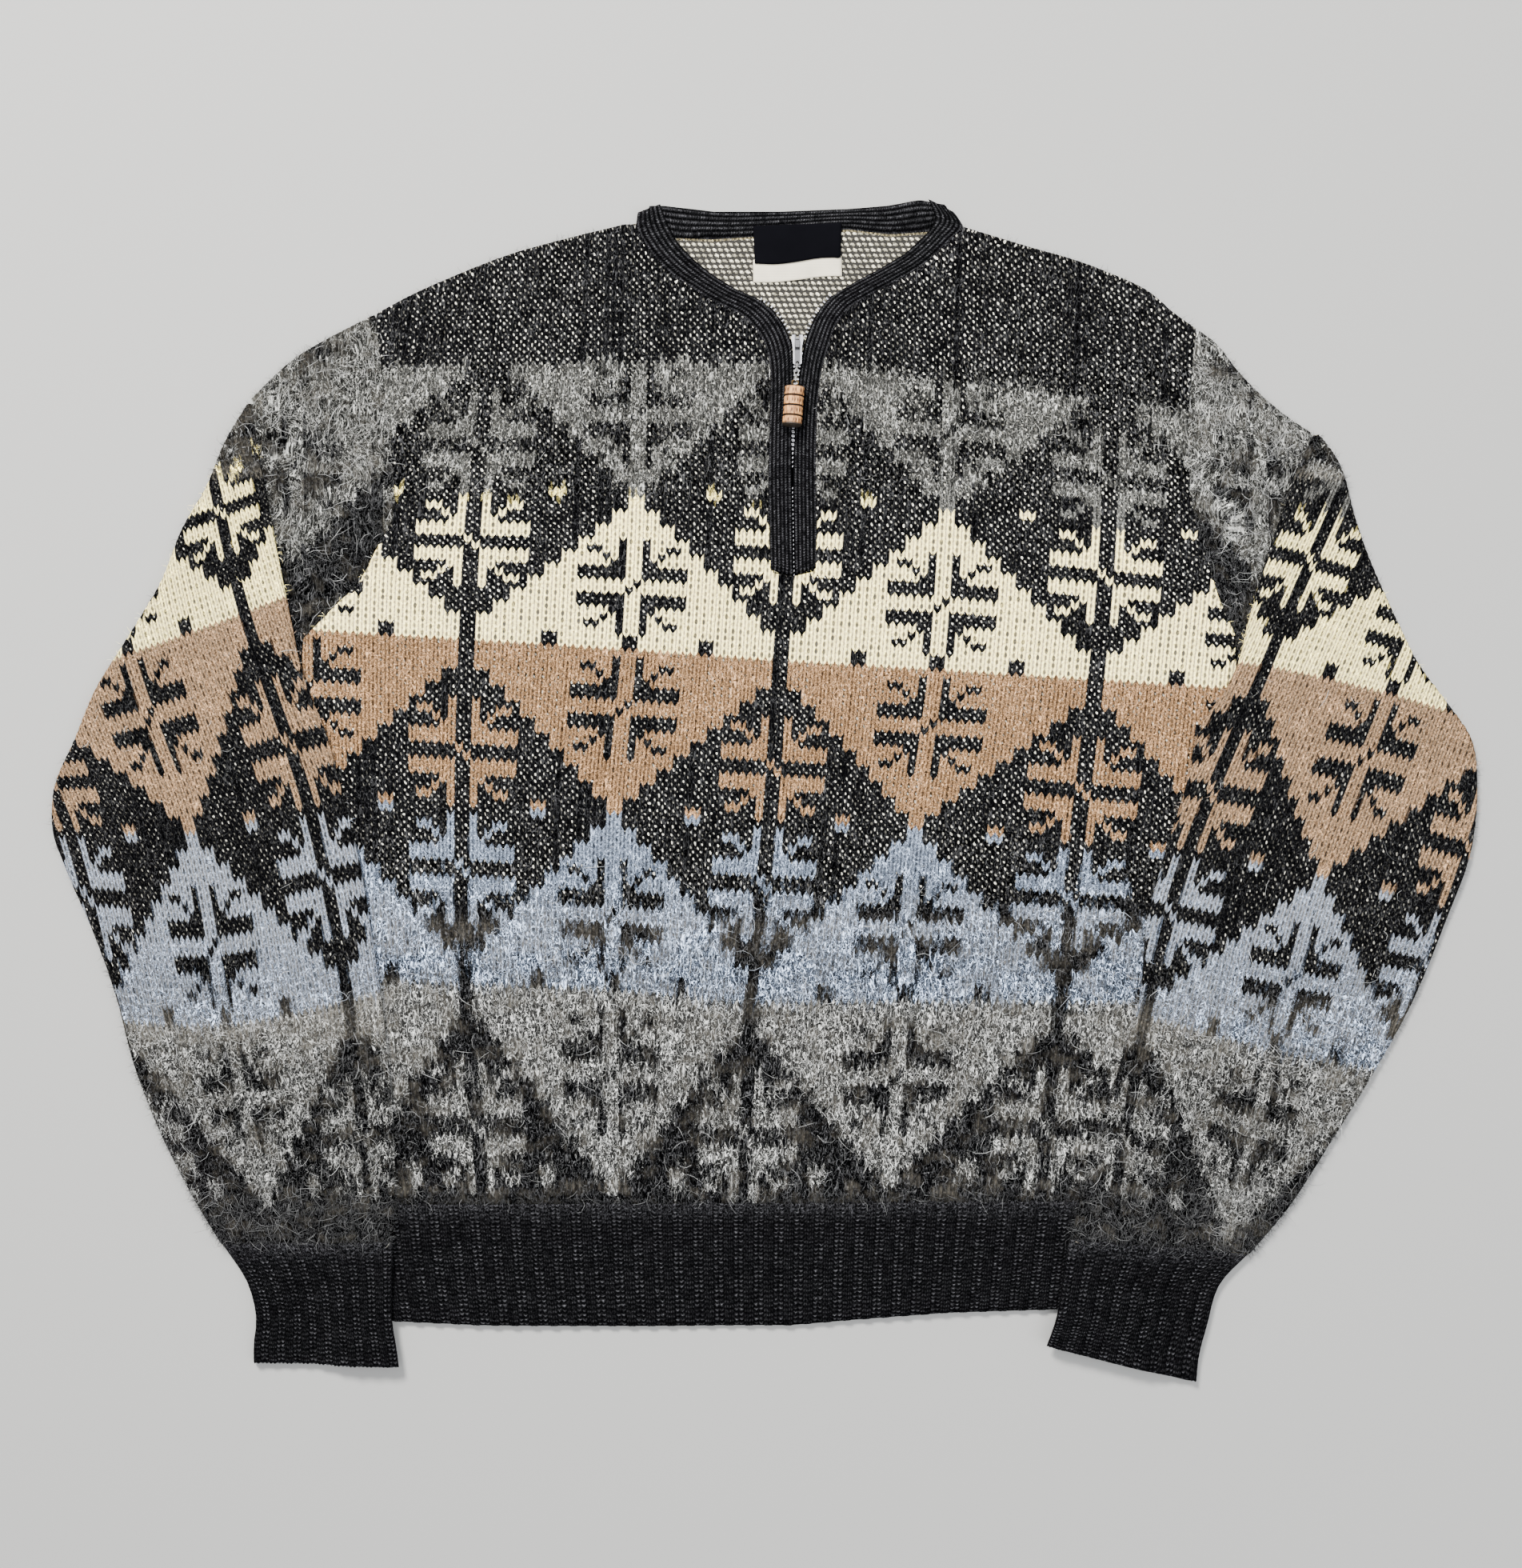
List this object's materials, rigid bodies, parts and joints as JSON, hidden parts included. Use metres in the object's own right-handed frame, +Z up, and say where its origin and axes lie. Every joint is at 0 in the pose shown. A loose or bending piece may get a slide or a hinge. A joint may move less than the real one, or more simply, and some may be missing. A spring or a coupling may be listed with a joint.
{
  "type": "mohair sweater",
  "caption": "Half-zip knitted pullover laid flat, with brushed patterned mohair panels, ribbed hem, cuffs and neckband, and a zip pull on a short chain.",
  "frame": {"origin": "on the floor, at the centre of the laid-out sweater's outline", "axes": "+X towards the right sleeve as seen from above, +Y towards the neck, +Z up from the floor"},
  "size_m": [0.853, 0.708, 0.0187],
  "materials": {
    "mohair": "brushed mohair knit, charcoal with cream, tan, blue and grey bands",
    "rib": "ribbed wool knit",
    "tape": "woven tape",
    "label_black": "woven satin label, bare",
    "label_white": "cotton label, bare",
    "metal": "nickel plate, lightly worn",
    "wood": "carved, unvarnished"
  },
  "bodies": {
    "garment": {"back_panel": "mohair", "front_panel": "mohair", "sleeve_left": "mohair", "sleeve_right": "mohair", "hem_rib_front": "rib", "hem_rib_back": "rib", "cuff_left": "rib", "cuff_right": "rib", "band_left": "rib", "band_right": "rib", "neckband_back": "rib", "zip_tape_left": "tape", "zip_tape_right": "tape", "label_neck": "label_black", "label_size": "label_white", "zip_slider": "metal"},
    "tab": {"zip_tab": "metal"},
    "pendant": {"pull_eye": "metal", "pull_link_1": "metal", "pull_link_2": "metal", "pull_link_3": "metal"},
    "bead": {"pull_bead": "wood"}
  },
  "joints": [
    {"name": "tab_lift", "type": "hinge", "parent": "garment", "child": "tab", "pos_m": [0.0195, 0.266, 0.0078], "axis": [-1, 0, 0], "range_deg": [0, 150]},
    {"name": "pendant_swing", "type": "hinge", "parent": "tab", "child": "pendant", "pos_m": [0.0195, 0.255, 0.0078], "axis": [0, 0, 1], "range_deg": [-40, 40]},
    {"name": "bead_spin", "type": "hinge", "parent": "pendant", "child": "bead", "pos_m": [0.01702, 0.22823, 0.0129], "axis": [-0.075, -0.9972, 0], "continuous": true}
  ]
}
